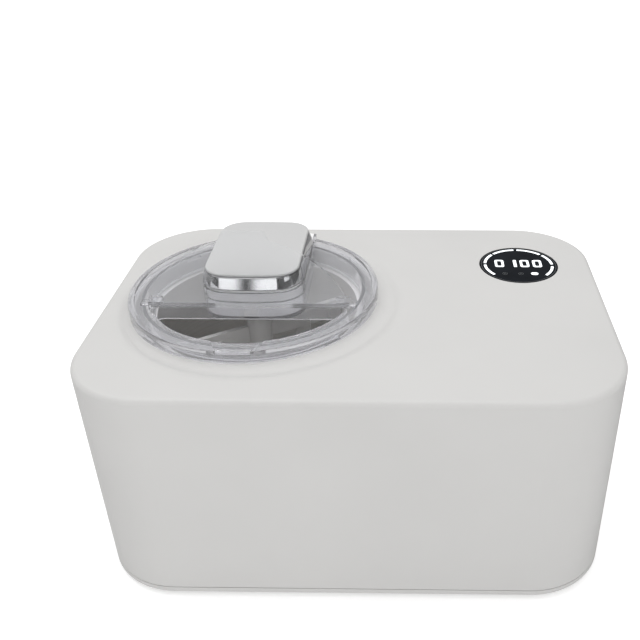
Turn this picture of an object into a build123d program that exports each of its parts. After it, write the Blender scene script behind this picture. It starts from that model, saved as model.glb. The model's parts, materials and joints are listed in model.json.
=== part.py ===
from build123d import *

import os
from math import acos, atan2, cos, degrees, hypot, pi, radians, sin, sqrt, tan

# A counter-top ice cream maker with its own compressor. Millimetres, +Z up, +Y to the back.
# The origin is on the surface that the feet stand on, under the middle of the housing.

# ---------------------------------------------------------------- driving dimensions
# Housing
HOUSING_W = 390.0
HOUSING_D = 273.0
CORNER_R = 60.0
TOP_Z = 184.0
TOP_EDGE_R = 4.0
WALL = 3.0
SEAT_DROP = 2.0
SEAM_Z = 10.0
SEAM_GAP = 0.6
SLOT_W = 3.2
SLOT_PITCH = 7.2
SLOTS_EACH_SIDE = 5

# Base
FOOT_H = 4.0
FOOT_R = 13.0
FOOT_X = 140.0
FOOT_Y = 88.0
SCREW_X = 160.0
SCREW_Y = 100.0
SCREW_HEAD_R = 4.0
SCREW_HEAD_H = 2.8
SCREW_SHANK_R = 1.45
SCREW_TIP_Z = 32.0
TRAY_FLOOR = 3.0
TRAY_LIP_Z = 16.0

# Recess around the lid, and the axis that the bowl, lid and paddle share
LID_X = -80.0
LID_Y = 8.0
RECESS_X = -74.0
RECESS_Y = 0.0
RECESS_R = 112.0
RECESS_SLOPE = 11.0
LID_SEAT_R = 98.5

# Cold side
BOWL_R = 81.2
BOWL_WALL = 1.2
BOWL_BOTTOM = 54.0
BOWL_RIM_Z = 171.4
BOWL_CORNER = 12.0
WELL_GAP = 0.4
WELL_WALL = 1.5
RING_LEDGE_Z = 170.0
RING_BORE_R = 82.0
RING_STEP_R = 92.3
RING_R = 96.0
RING_FLANGE_R = 103.0
TERMINAL_W = 48.0
TERMINAL_R = 88.5
CONTACT_R = 92.0
CONTACT_PITCH = 12.0
FOAM_R = 105.0
COIL_TUBE_R = 3.0
COIL_TURNS = 6
COIL_PITCH = 14.0
COIL_START_Z = 66.0

# Lid
LID_R = 97.0
LID_WALL = 2.5
LUG_ANGLES = (45, 135, 225, 315)
RIB_INNER_R = 84.3
RIB_OUTER_R = 87.0
RIB_Z = 174.0
DECK_Z = TOP_Z + 6.5
DECK_T = 3.5
RIM_Z = DECK_Z + 1.5
RIM_W = 5.0
CHUTE_Z = TOP_Z - 8.0
CHUTE_R = 79.8
CHUTE_WALL = 2.5
FLAP_T = 2.3
FLAP_R = 82.0
FLAP_GAP = 0.5
HINGE_Y = -20.0
HINGE_PIN_R = 1.5
FLAP_REACH = 60.0
FLAP_LEAN = 4.0
FLAP_TAB_W = 30.0
FLAP_CORNER = 7.0
PIN_REACH = 80.7
SOCKET_INNER = 76.6
SOCKET_OUTER = 82.2
STOP_INNER = 66.0
STOP_H = 6.0
NOTCH_R = 94.0
NOTCH_BASE_W = 42.0
NOTCH_TIP_W = 24.0

# Motor unit, on the lid
UNIT_W = 79.0
UNIT_FRONT = -15.0
UNIT_BACK = 91.0
UNIT_CORNER = 21.0
UNIT_BOW = 5.0
BAND_Z = TOP_Z + 15.0
BAND_H = 10.0
BAND_WALL = 4.4
BAND_LIP_R = 1.2
BAND_LEAN = 2.4
BAND_BULGE = 0.15
BAND_FACE_TOP = 9.0
BAND_SHADOW_GAP = 1.8
COVER_INSET = 3.2
COVER_GROOVE_H = 0.8
COVER_GROOVE_D = 0.8
COVER_EDGE_H = 2.0
COVER_CROWN = 1.5
COVER_EDGE_R = 0.9
CASE_INSET = 2.0
TUB_BACK = 79.0
TUB_FLOOR_Z = TOP_Z - 7.0
POCKET_GAP = 0.5
POCKET_WALL = 2.0
TAIL_START_Y = 50.0
TAIL_INNER_R = 88.2

# Gear train
PRESSURE_ANGLE = 25.0
ADDENDUM = 0.85
BACKLASH = 0.16
SLOW_MODULE = 0.8
OUTPUT_TEETH = 40
COMPOUND_SMALL_TEETH = 13
FAST_MODULE = 0.7
COMPOUND_BIG_TEETH = 44
PINION_TEETH = 12
MOTOR_REACH = 39.0
GEAR_Z = BAND_Z + 0.4
SLOW_FACE = 3.6
FAST_FACE = 3.0
HEX_FLATS = 8.0
SHAFT_R = 5.0
SHAFT_END_Z = 160.0

# Paddle
PADDLE_R = 77.0
PADDLE_BOTTOM = 57.5
PADDLE_TOP = 158.0
PADDLE_ANGLE = 212.0
HUB_R = 10.0

# Machinery bay, right of the bowl
COMPRESSOR_X = 84.0
COMPRESSOR_Y = -28.0
COMPRESSOR_R = 48.0
COMPRESSOR_BASE_Z = 22.0
FIN_X = 150.0
FIN_DEPTH = 22.0
FIN_H = 110.0
FIN_PITCH = 5.0
FIN_COUNT = 25
FIN_Z = 92.0
FAN_FRAME = 84.0
FAN_FRONT_X = 170.0
FAN_REAR_X = 188.0
FAN_Z = 92.0
FAN_R = 38.0
FAN_HUB_R = 15.0
FAN_BLADES = 7

# Display
DISPLAY_X = 134.0
DISPLAY_Y = 63.0
DISPLAY_R = 33.0
GLASS_T = 2.0
SEGMENT_T = 0.15
LIGHT_BARS = ((93, 134), (139, 174.5), (181, 220), (44, 87.5), (2, 39), (-42, -6))
LIGHT_BAR_R = (27.2, 29.4)
DIGIT_H = 13.0
DIGIT_W = 7.6
DIGIT_STROKE = 2.0
DIGIT_Y = 2.1
ZERO_X = (-16.1, 5.25, 15.9)
ONE_X = -2.85
SYMBOL_X = 11.7
SYMBOL_Y = -16.5

# Cord gland, in a pocket low on the back
GLAND_X = 120.0
GLAND_Z = 34.0
GLAND_POCKET = 26.0
CORD_R = 3.6

LID_AXIS = (LID_X, LID_Y)
FLOOR_TOP = FOOT_H + TRAY_FLOOR
SEAT_Z = TOP_Z - SEAT_DROP
BAND_TOP = BAND_Z + BAND_H


# ---------------------------------------------------------------- helpers
def prism(outline, z_low, z_high, mode=Mode.ADD):
    """Extrude a flat outline between two heights."""
    with BuildSketch(Plane.XY.offset(z_low)) as section:
        add(outline)
    extrude(section.sketch, amount=z_high - z_low, mode=mode)


def cylinder(x, y, radius, z_low, z_high, mode=Mode.ADD):
    """Add or cut an upright cylinder in the current part."""
    with Locations((x, y, z_low)):
        Cylinder(radius, z_high - z_low, align=(Align.CENTER, Align.CENTER, Align.MIN), mode=mode)


def block(x_range, y_range, z_range, mode=Mode.ADD):
    """Add or cut a box given by its limits."""
    middle = [(low + high) / 2 for low, high in (x_range, y_range, z_range)]
    size = [high - low for low, high in (x_range, y_range, z_range)]
    with Locations(tuple(middle)):
        Box(*size, mode=mode)


def lathe(points, centre=(0.0, 0.0), mode=Mode.ADD):
    """Revolve a closed (radius, height) outline about an upright axis."""
    plane = Plane(origin=(*centre, 0), x_dir=(1, 0, 0), z_dir=(0, -1, 0))
    with BuildSketch(plane) as section:
        with BuildLine():
            Polyline(*points, close=True)
        make_face()
    revolve(section.sketch, axis=Axis((*centre, 0), (0, 0, 1)), mode=mode)


def cup(centre, radius, z_low, z_high, wall, corner):
    """Revolve an open cup with a rounded bottom corner."""
    plane = Plane(origin=(*centre, 0), x_dir=(1, 0, 0), z_dir=(0, -1, 0))
    with BuildSketch(plane) as section:
        with BuildLine():
            Line((0, z_low), (radius - corner, z_low))
            CenterArc((radius - corner, z_low + corner), corner, 270, 90)
            Line((radius, z_low + corner), (radius, z_high))
            Line((radius, z_high), (radius - wall, z_high))
            Line((radius - wall, z_high), (radius - wall, z_low + corner))
            CenterArc((radius - corner, z_low + corner), corner - wall, 0, -90)
            Line((radius - corner, z_low + wall), (0, z_low + wall))
            Line((0, z_low + wall), (0, z_low))
        make_face()
    revolve(section.sketch, axis=Axis((*centre, 0), (0, 0, 1)))


def housing_outline(inset=0.0):
    """The housing's footprint, drawn in by an inset."""
    with BuildSketch() as sketch:
        RectangleRounded(HOUSING_W - 2 * inset, HOUSING_D - 2 * inset, CORNER_R - inset)
    return sketch.sketch


def unit_outline(inset=0.0, back=UNIT_BACK):
    """The motor unit's footprint with its bowed front, drawn in by an inset."""
    left, right = LID_X - UNIT_W / 2, LID_X + UNIT_W / 2
    shoulder_y = UNIT_FRONT + UNIT_BOW
    with BuildSketch() as sketch:
        with BuildLine():
            ThreePointArc((left, shoulder_y), (LID_X, UNIT_FRONT), (right, shoulder_y))
            Polyline((right, shoulder_y), (right, back), (left, back), (left, shoulder_y))
        make_face()
        fillet(sketch.vertices(), UNIT_CORNER)
        if inset:
            offset(amount=-inset)
    return sketch.sketch


def chord_segment(radius, chord_y, corner):
    """The part of a circle about the lid axis that lies in front of a chord, with rounded ends."""
    with BuildSketch() as sketch:
        with Locations(LID_AXIS):
            Circle(radius)
        with Locations((LID_X, chord_y)):
            Rectangle(2.2 * radius, 2 * radius, align=(Align.CENTER, Align.MAX), mode=Mode.INTERSECT)
        fillet(sketch.vertices(), corner)
    return sketch.sketch


def finger_notch(tip_y, base_y, tip_width, base_width):
    """A trapezium that narrows towards the front of the lid."""
    with BuildSketch() as sketch:
        with BuildLine():
            Polyline(
                (LID_X - base_width / 2, base_y),
                (LID_X - tip_width / 2, tip_y),
                (LID_X + tip_width / 2, tip_y),
                (LID_X + base_width / 2, base_y),
                close=True,
            )
        make_face()
    return sketch.sketch


def gear_outline(teeth, module, centre, turn):
    """Corner points of an involute gear, with the middle of one tooth at an angle in degrees."""
    pitch_r = teeth * module / 2
    base_r = pitch_r * cos(radians(PRESSURE_ANGLE))
    tip_r = pitch_r + ADDENDUM * module
    root_r = pitch_r - 1.15 * module
    start_r = max(base_r, root_r)
    half_pitch = pi / (2 * teeth) - BACKLASH / (2 * pitch_r)
    pressure = radians(PRESSURE_ANGLE)
    flank_steps = 4
    flank = []
    for step in range(flank_steps + 1):
        radius = start_r + (tip_r - start_r) * step / flank_steps
        roll = acos(min(1.0, base_r / radius))
        flank.append((radius, half_pitch + tan(pressure) - pressure - tan(roll) + roll))
    rising = flank if root_r >= base_r else [(root_r, flank[0][1])] + flank
    points = []
    for tooth in range(teeth):
        middle = radians(turn) + 2 * pi * tooth / teeth
        corners = [(radius, middle - half) for radius, half in rising]
        corners += [(radius, middle + half) for radius, half in reversed(rising)]
        points += [(centre[0] + r * cos(a), centre[1] + r * sin(a)) for r, a in corners]
    return points


def gear_face(teeth, module, centre, turn):
    """A gear's flat outline."""
    with BuildSketch() as sketch:
        with BuildLine():
            Polyline(*gear_outline(teeth, module, centre, turn), close=True)
        make_face()
    return sketch.sketch


def tube_along(points, radii, tube_r):
    """Sweep a round tube along straight runs joined by arcs."""
    with BuildLine() as path:
        FilletPolyline(*points, radius=radii)
    start = path.line @ 0
    heading = path.line % 0
    with BuildSketch(Plane(origin=start, z_dir=heading)) as section:
        Circle(tube_r)
    sweep(section.sketch, path=path.line)


pieces = {}


def keep(name, builder):
    """Label a finished piece and queue it for writing."""
    builder.part.label = name
    pieces[name] = builder.part


# ---------------------------------------------------------------- base
with BuildPart() as base_tray:
    prism(housing_outline(), FOOT_H, SEAM_Z - SEAM_GAP)
    fillet(base_tray.faces().sort_by(Axis.Z)[0].edges(), 2)
    prism(housing_outline(WALL), FLOOR_TOP, SEAM_Z, mode=Mode.SUBTRACT)
    lip = housing_outline(WALL + 0.2) - housing_outline(WALL + 2.2)
    prism(lip, FLOOR_TOP - 0.5, TRAY_LIP_Z)
    for x in (-SCREW_X, SCREW_X):
        for y in (-SCREW_Y, SCREW_Y):
            cylinder(x, y, 7, FLOOR_TOP - 0.5, TRAY_LIP_Z)
            cylinder(x, y, 4.4, FOOT_H, FOOT_H + 4, mode=Mode.SUBTRACT)
            cylinder(x, y, 2, FOOT_H, TRAY_LIP_Z, mode=Mode.SUBTRACT)
    # Ring that carries the insulation, and shouldered studs for the compressor
    cylinder(*LID_AXIS, 64, FLOOR_TOP - 0.5, TRAY_LIP_Z)
    cylinder(*LID_AXIS, 61, FLOOR_TOP, TRAY_LIP_Z, mode=Mode.SUBTRACT)
    for x in (COMPRESSOR_X - 44, COMPRESSOR_X + 44):
        for y in (COMPRESSOR_Y - 34, COMPRESSOR_Y + 34):
            cylinder(x, y, 6, FLOOR_TOP - 0.5, 12)
            cylinder(x, y, 3, FLOOR_TOP, 27)
    # Air slots under the machinery bay
    with Locations((COMPRESSOR_X, 60, FOOT_H)):
        with GridLocations(9, 1, 9, 1):
            Box(3, 36, 3 * TRAY_FLOOR, mode=Mode.SUBTRACT)
keep("base_tray", base_tray)

with BuildPart() as rubber_feet:
    for x in (-FOOT_X, FOOT_X):
        for y in (-FOOT_Y, FOOT_Y):
            lathe([(0, 0), (FOOT_R - 2, 0), (FOOT_R - 1, 0.6), (FOOT_R, FOOT_H), (0, FOOT_H)], (x, y))
keep("rubber_feet", rubber_feet)

with BuildPart() as base_screws:
    for x in (-SCREW_X, SCREW_X):
        for y in (-SCREW_Y, SCREW_Y):
            head_z = FOOT_H + 4 - SCREW_HEAD_H
            cylinder(x, y, SCREW_HEAD_R, head_z, head_z + SCREW_HEAD_H)
            cylinder(x, y, SCREW_SHANK_R, FOOT_H + 4, SCREW_TIP_Z)
            # Cross recess
            slot_z = (head_z - 1, head_z + 1)
            for half_x, half_y in ((3, 0.5), (0.5, 3)):
                block((x - half_x, x + half_x), (y - half_y, y + half_y), slot_z, mode=Mode.SUBTRACT)
keep("base_screws", base_screws)

# ---------------------------------------------------------------- housing
with BuildPart() as housing_shell:
    prism(housing_outline(), SEAM_Z, TOP_Z)
    fillet(housing_shell.faces().sort_by(Axis.Z)[-1].edges(), TOP_EDGE_R)
    prism(housing_outline(WALL), SEAM_Z, TOP_Z - WALL - SEAT_DROP, mode=Mode.SUBTRACT)
    with BuildSketch() as thick_pad:
        with Locations((RECESS_X, RECESS_Y)):
            Circle(RECESS_R + 4)
    prism(housing_outline(WALL) - thick_pad.sketch, SEAM_Z, TOP_Z - WALL, mode=Mode.SUBTRACT)
    for x in (-SCREW_X, SCREW_X):
        for y in (-SCREW_Y, SCREW_Y):
            cylinder(x, y, 5, TRAY_LIP_Z, TOP_Z - WALL)
            cylinder(x, y, 1.5, TRAY_LIP_Z, TRAY_LIP_Z + 24, mode=Mode.SUBTRACT)
    # Shallow dish with a soft S-shaped edge, then the flat seat of the lid
    dish_plane = Plane(origin=(RECESS_X, RECESS_Y, TOP_Z), x_dir=(1, 0, 0), z_dir=(0, -1, 0))
    with BuildSketch(dish_plane) as dish_section:
        with BuildLine():
            half_run = RECESS_SLOPE / 2
            half_drop = SEAT_DROP / 2
            bend_r = (half_run**2 + half_drop**2) / (2 * half_drop)
            bend = degrees(2 * atan2(half_drop, half_run))
            low_r = RECESS_R - RECESS_SLOPE
            Line((0, 1), (0, -SEAT_DROP))
            Line((0, -SEAT_DROP), (low_r, -SEAT_DROP))
            CenterArc((low_r, bend_r - SEAT_DROP), bend_r, 270, bend)
            CenterArc((RECESS_R, -bend_r), bend_r, 90, bend)
            Line((RECESS_R, 0), (RECESS_R, 1))
            Line((RECESS_R, 1), (0, 1))
        make_face()
    revolve(
        dish_section.sketch,
        axis=Axis((RECESS_X, RECESS_Y, 0), (0, 0, 1)),
        mode=Mode.SUBTRACT,
    )
    cylinder(*LID_AXIS, LID_SEAT_R, SEAT_Z, TOP_Z + 1, mode=Mode.SUBTRACT)
    cylinder(*LID_AXIS, RING_R + 0.2, TOP_Z - 12, TOP_Z + 1, mode=Mode.SUBTRACT)
    # Display opening with a ledge under the glass
    cylinder(DISPLAY_X, DISPLAY_Y, DISPLAY_R + 0.2, TOP_Z - GLASS_T, TOP_Z + 1, mode=Mode.SUBTRACT)
    cylinder(DISPLAY_X, DISPLAY_Y, DISPLAY_R - 3, TOP_Z - 12, TOP_Z + 1, mode=Mode.SUBTRACT)
    # Outlet slots in front of the fan, inlet slots in the back
    slot_steps = [SLOT_PITCH * number for number in range(-SLOTS_EACH_SIDE, SLOTS_EACH_SIDE + 1)]
    with Locations(*[(HOUSING_W / 2, 0, FAN_Z + step) for step in slot_steps]):
        Box(4 * WALL, FAN_FRAME, SLOT_W, mode=Mode.SUBTRACT)
    with Locations(*[(COMPRESSOR_X + step, HOUSING_D / 2, FAN_Z + 8) for step in slot_steps]):
        Box(SLOT_W, 4 * WALL, 60, mode=Mode.SUBTRACT)
    # Pocket for the cord gland
    back = HOUSING_D / 2
    half = GLAND_POCKET / 2
    outer = half + WALL
    pocket_x = (GLAND_X - half, GLAND_X + half)
    pocket_z = (GLAND_Z - half, GLAND_Z + half)
    block((GLAND_X - outer, GLAND_X + outer), (back - 17, back - 1), (GLAND_Z - outer, GLAND_Z + outer))
    block(pocket_x, (back - 14, back + 1), pocket_z, mode=Mode.SUBTRACT)
    with Locations(Location((GLAND_X, back - 16, GLAND_Z), (90, 0, 0))):
        Cylinder(7, 8, mode=Mode.SUBTRACT)
keep("housing_shell", housing_shell)

with BuildPart() as cord_gland:
    gland_plane = Plane(origin=(GLAND_X, back - 20, GLAND_Z), x_dir=(1, 0, 0), z_dir=(0, 1, 0))
    with BuildSketch(gland_plane):
        Circle(6.9)
    extrude(amount=12)
    with BuildSketch(gland_plane.offset(6.2)):
        Circle(9)
    extrude(amount=3)
    with BuildSketch(gland_plane.offset(-3)):
        Circle(8.6)
    extrude(amount=3.2)
    with BuildSketch(gland_plane.offset(-3)):
        Circle(CORD_R)
    extrude(amount=16, mode=Mode.SUBTRACT)
keep("cord_gland", cord_gland)

# ---------------------------------------------------------------- cold side
CONTACT_X = [LID_X + CONTACT_PITCH * number for number in (-1.5, -0.5, 0.5, 1.5)]
CONTACT_SPOTS = [(x, LID_Y + sqrt(CONTACT_R**2 - (x - LID_X) ** 2)) for x in CONTACT_X]
LUG_R = LID_R - LID_WALL - 0.6

with BuildPart() as well_ring:
    lathe(
        [
            (RING_BORE_R, RING_LEDGE_Z - 3),
            (RING_BORE_R, RING_LEDGE_Z),
            (RING_STEP_R, RING_LEDGE_Z),
            (RING_STEP_R, SEAT_Z - 0.8),
            (RING_STEP_R + 0.8, SEAT_Z),
            (RING_R, SEAT_Z),
            (RING_R, SEAT_Z - WALL),
            (RING_FLANGE_R, SEAT_Z - WALL),
            (RING_FLANGE_R, SEAT_Z - 2 * WALL),
            (RING_STEP_R + WALL, SEAT_Z - 2 * WALL),
            (RING_STEP_R + WALL, RING_LEDGE_Z - 3),
        ],
        LID_AXIS,
    )
    # Terminal block for the contact pads, at the back
    with BuildSketch(Plane.XY.offset(RING_LEDGE_Z - 1)) as terminal:
        with Locations(LID_AXIS):
            Circle(RING_STEP_R + 1)
            Circle(TERMINAL_R, mode=Mode.SUBTRACT)
            Rectangle(TERMINAL_W, RING_R, align=(Align.CENTER, Align.MIN), mode=Mode.INTERSECT)
    extrude(terminal.sketch, amount=SEAT_Z - RING_LEDGE_Z + 1)
    with Locations((*LID_AXIS, SEAT_Z)):
        with PolarLocations(LUG_R + 0.3, len(LUG_ANGLES), start_angle=LUG_ANGLES[0]):
            Box(5, 15, 5, mode=Mode.SUBTRACT)
    for spot in CONTACT_SPOTS:
        cylinder(*spot, 2, SEAT_Z - 2, SEAT_Z, mode=Mode.SUBTRACT)
keep("well_ring", well_ring)

with BuildPart() as contact_pads:
    for spot in CONTACT_SPOTS:
        cylinder(*spot, 1.95, SEAT_Z - 2, SEAT_Z - 0.4)
keep("contact_pads", contact_pads)

WELL_INNER_R = BOWL_R + WELL_GAP
WELL_R = WELL_INNER_R + WELL_WALL
WELL_BOTTOM = BOWL_BOTTOM - WELL_GAP - WELL_WALL
WELL_TOP = RING_LEDGE_Z - 3
with BuildPart() as cooling_well:
    cup(LID_AXIS, WELL_R, WELL_BOTTOM, WELL_TOP, WELL_WALL, BOWL_CORNER + WELL_GAP + WELL_WALL)
    lathe(
        [(WELL_R - 0.5, WELL_TOP - 1.5), (WELL_R - 0.5, WELL_TOP), (88, WELL_TOP), (88, WELL_TOP - 1.5)],
        LID_AXIS,
    )
keep("cooling_well", cooling_well)

with BuildPart() as evaporator_coil:
    coil_r = WELL_R + COIL_TUBE_R + 0.3
    coil_height = COIL_TURNS * COIL_PITCH
    with BuildLine() as coil_path:
        Helix(COIL_PITCH, coil_height, coil_r, center=(*LID_AXIS, COIL_START_Z))
    with BuildSketch(Plane(origin=coil_path.line @ 0, z_dir=coil_path.line % 0)) as coil_section:
        Circle(COIL_TUBE_R)
    sweep(coil_section.sketch, path=coil_path.line, is_frenet=True)
keep("evaporator_coil", evaporator_coil)

with BuildPart() as insulation_foam:
    cylinder(*LID_AXIS, FOAM_R, TRAY_LIP_Z, WELL_TOP - 2)
    cylinder(*LID_AXIS, coil_r + COIL_TUBE_R + 0.4, WELL_BOTTOM, WELL_TOP, mode=Mode.SUBTRACT)
keep("insulation_foam", insulation_foam)

with BuildPart() as temperature_sensor:
    cylinder(LID_X + WELL_R + 3.4, LID_Y, 2.6, 157, WELL_TOP - 2.2)
keep("temperature_sensor", temperature_sensor)

# ---------------------------------------------------------------- bowl
with BuildPart() as bowl:
    cup(LID_AXIS, BOWL_R, BOWL_BOTTOM, BOWL_RIM_Z, BOWL_WALL, BOWL_CORNER)
    lathe(
        [
            (BOWL_R - 0.5, RING_LEDGE_Z + 0.1),
            (BOWL_R - 0.5, BOWL_RIM_Z),
            (86.6, BOWL_RIM_Z),
            (87.2, BOWL_RIM_Z - 0.4),
            (87.2, RING_LEDGE_Z + 0.1),
        ],
        LID_AXIS,
    )
keep("bowl", bowl)

# ---------------------------------------------------------------- compressor and pipework
COMPRESSOR_AXIS = (COMPRESSOR_X, COMPRESSOR_Y)
SHELL_FOOT_Z = COMPRESSOR_BASE_Z + 2.5
with BuildPart() as compressor_shell:
    lathe(
        [
            (0, SHELL_FOOT_Z),
            (COMPRESSOR_R - 12, SHELL_FOOT_Z),
            (COMPRESSOR_R - 3, SHELL_FOOT_Z + 6),
            (COMPRESSOR_R, SHELL_FOOT_Z + 16),
            (COMPRESSOR_R, 78),
            (COMPRESSOR_R + 2.5, 78),
            (COMPRESSOR_R + 2.5, 82),
            (COMPRESSOR_R, 82),
            (COMPRESSOR_R, 106),
            (COMPRESSOR_R - 5, 118),
            (COMPRESSOR_R - 16, 126),
            (COMPRESSOR_R - 32, 130),
            (0, 131),
        ],
        COMPRESSOR_AXIS,
    )
    # Terminal cover on the side
    block(
        (COMPRESSOR_X - 16, COMPRESSOR_X + 16),
        (COMPRESSOR_Y - COMPRESSOR_R - 12, COMPRESSOR_Y - COMPRESSOR_R + 8),
        (48, 74),
    )
keep("compressor_shell", compressor_shell)

with BuildPart() as compressor_plate:
    with BuildSketch(Plane.XY.offset(COMPRESSOR_BASE_Z)):
        with Locations(COMPRESSOR_AXIS):
            RectangleRounded(104, 84, 8)
        with Locations(COMPRESSOR_AXIS):
            with GridLocations(88, 68, 2, 2):
                Circle(4.2, mode=Mode.SUBTRACT)
    extrude(amount=2.5)
keep("compressor_plate", compressor_plate)

with BuildPart() as compressor_grommets:
    for x in (COMPRESSOR_X - 44, COMPRESSOR_X + 44):
        for y in (COMPRESSOR_Y - 34, COMPRESSOR_Y + 34):
            cylinder(x, y, 7, 12, COMPRESSOR_BASE_Z)
            cylinder(x, y, 4.1, COMPRESSOR_BASE_Z, SHELL_FOOT_Z)
            cylinder(x, y, 3.1, 12, SHELL_FOOT_Z, mode=Mode.SUBTRACT)
keep("compressor_grommets", compressor_grommets)

TUBE_ROWS = [FIN_Z - 45 + 18 * row for row in range(6)]
with BuildPart() as condenser_fins:
    fin_plane = Plane(origin=(FIN_X, 0, FIN_Z), x_dir=(1, 0, 0), z_dir=(0, 1, 0))
    for number in range(FIN_COUNT):
        station = FIN_PITCH * (number - (FIN_COUNT - 1) / 2)
        with BuildSketch(fin_plane.offset(station)) as fin:
            Rectangle(FIN_DEPTH, FIN_H)
            with Locations(*[(0, FIN_Z - row_z) for row_z in TUBE_ROWS]):
                Circle(3.1, mode=Mode.SUBTRACT)
        extrude(fin.sketch, amount=0.5, both=True)
keep("condenser_fins", condenser_fins)

with BuildPart() as condenser_tube:
    reach = FIN_PITCH * FIN_COUNT / 2 + 10
    route = [(FIN_X, -reach, TUBE_ROWS[0])]
    for number, row_z in enumerate(TUBE_ROWS):
        side = 1 if number % 2 == 0 else -1
        route.append((FIN_X, side * reach, row_z))
        if number + 1 < len(TUBE_ROWS):
            route.append((FIN_X, side * reach, TUBE_ROWS[number + 1]))
    tube_along(route, 8.9, 3)
keep("condenser_tube", condenser_tube)

with BuildPart() as filter_drier:
    lathe([(0, 58), (3, 58), (3, 63), (9, 68), (9, 112), (3, 118), (3, 123), (0, 123)], (120, 78))
keep("filter_drier", filter_drier)

with BuildPart() as capillary_tube:
    with BuildLine() as capillary_path:
        Helix(4, 28, 15, center=(74, 78, 70))
    with BuildSketch(Plane(origin=capillary_path.line @ 0, z_dir=capillary_path.line % 0)) as bore:
        Circle(1.1)
    sweep(bore.sketch, path=capillary_path.line, is_frenet=True)
keep("capillary_tube", capillary_tube)

with BuildPart() as refrigerant_lines:
    # Suction line from the insulation, and discharge line towards the condenser
    tube_along([(28, 8, 140), (60, 8, 140), (60, -20, 140), (60, -20, 131.5)], [12, 6], 3)
    tube_along([(100, -44, 131), (100, -44, 146), (128, -64, 146), (128, -64, 120)], [7, 12], 2.5)
keep("refrigerant_lines", refrigerant_lines)

# ---------------------------------------------------------------- fan
def fan_plane(depth):
    """A plane across the fan's axis, a depth behind its front."""
    return Plane(origin=(FAN_FRONT_X + depth, 0, FAN_Z), x_dir=(0, 1, 0), z_dir=(1, 0, 0))


with BuildPart() as fan_shroud:
    half = FAN_FRAME / 2
    block((FAN_FRONT_X, FAN_REAR_X), (-half, half), (FAN_Z - half, FAN_Z + half))
    with Locations(Location(((FAN_FRONT_X + FAN_REAR_X) / 2, 0, FAN_Z), (0, 90, 0))):
        Cylinder(FAN_R + 1.5, FAN_REAR_X - FAN_FRONT_X + 2, mode=Mode.SUBTRACT)
    for turn in range(4):
        with Locations(Location((FAN_FRONT_X + 1.5, 0, FAN_Z), (45 + 90 * turn, 0, 0))):
            Box(3, 4, FAN_R + 3, align=(Align.CENTER, Align.CENTER, Align.MIN))
    with Locations(Location((FAN_FRONT_X + 1.5, 0, FAN_Z), (0, 90, 0))):
        Cylinder(FAN_HUB_R, 3)
        Cylinder(3, 4, mode=Mode.SUBTRACT)
keep("fan_shroud", fan_shroud)

with BuildPart() as fan_motor:
    for depth, radius, length in ((0.2, 2.9, 3), (3, 11, 5), (8, 1.5, 7)):
        with BuildSketch(fan_plane(depth)):
            Circle(radius)
        extrude(amount=length)
keep("fan_motor", fan_motor)

with BuildPart() as fan_rotor:
    with BuildSketch(fan_plane(4)):
        Circle(FAN_HUB_R)
    extrude(amount=12)
    # Hollow for the motor, and the shaft hole
    for radius, length in ((FAN_HUB_R - 2, 5), (1.56, 13)):
        with BuildSketch(fan_plane(4)):
            Circle(radius)
        extrude(amount=length, mode=Mode.SUBTRACT)
    blade_middle = (FAN_HUB_R + FAN_R) / 2 - 0.6
    for number in range(FAN_BLADES):
        spin = 360 * number / FAN_BLADES
        with Locations(Location((FAN_FRONT_X + 10, 0, FAN_Z), (spin, 0, 0))):
            with Locations(Location((0, 0, blade_middle), (0, 0, 38))):
                Box(1.6, 15, FAN_R - FAN_HUB_R)
keep("fan_rotor", fan_rotor)

# ---------------------------------------------------------------- electronics
with BuildPart() as display_glass:
    cylinder(DISPLAY_X, DISPLAY_Y, DISPLAY_R, TOP_Z - GLASS_T, TOP_Z)
    chamfer(display_glass.faces().sort_by(Axis.Z)[-1].edges(), 0.3)
keep("display_glass", display_glass)



def light_bar(start, end):
    """A flat bar of light that follows the edge of the display."""
    inner_r, outer_r = LIGHT_BAR_R
    centre = (DISPLAY_X, DISPLAY_Y)
    with BuildSketch() as sketch:
        with BuildLine():
            outer_arc = CenterArc(centre, outer_r, start, end - start)
            inner_arc = CenterArc(centre, inner_r, start, end - start)
            Line(outer_arc @ 0, inner_arc @ 0)
            Line(outer_arc @ 1, inner_arc @ 1)
        make_face()
    return sketch.sketch


with BuildPart() as display_segments:
    with BuildSketch(Plane.XY.offset(TOP_Z)) as lit_shapes:
        for start, end in LIGHT_BARS:
            add(light_bar(start, end))
        with Locations(*[(DISPLAY_X + x, DISPLAY_Y + DIGIT_Y) for x in ZERO_X]):
            RectangleRounded(DIGIT_W, DIGIT_H, DIGIT_STROKE)
            inside = DIGIT_W - 2 * DIGIT_STROKE, DIGIT_H - 2 * DIGIT_STROKE
            RectangleRounded(*inside, DIGIT_STROKE / 2, mode=Mode.SUBTRACT)
        with Locations((DISPLAY_X + ONE_X, DISPLAY_Y + DIGIT_Y)):
            RectangleRounded(1.3 * DIGIT_STROKE, DIGIT_H, DIGIT_STROKE / 2)
        with Locations((DISPLAY_X + SYMBOL_X, DISPLAY_Y + SYMBOL_Y)):
            RectangleRounded(6.0, 4.4, 2.1)
    extrude(lit_shapes.sketch, amount=SEGMENT_T)
keep("display_segments", display_segments)

with BuildPart() as display_carrier:
    cylinder(DISPLAY_X, DISPLAY_Y, DISPLAY_R - 3.2, TOP_Z - 12, TOP_Z - GLASS_T - 0.1)
    cylinder(DISPLAY_X, DISPLAY_Y, DISPLAY_R + 3, TOP_Z - 12, TOP_Z - WALL - 0.1)
    cylinder(DISPLAY_X, DISPLAY_Y, DISPLAY_R - 5, TOP_Z - 10, TOP_Z, mode=Mode.SUBTRACT)
keep("display_carrier", display_carrier)

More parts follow.
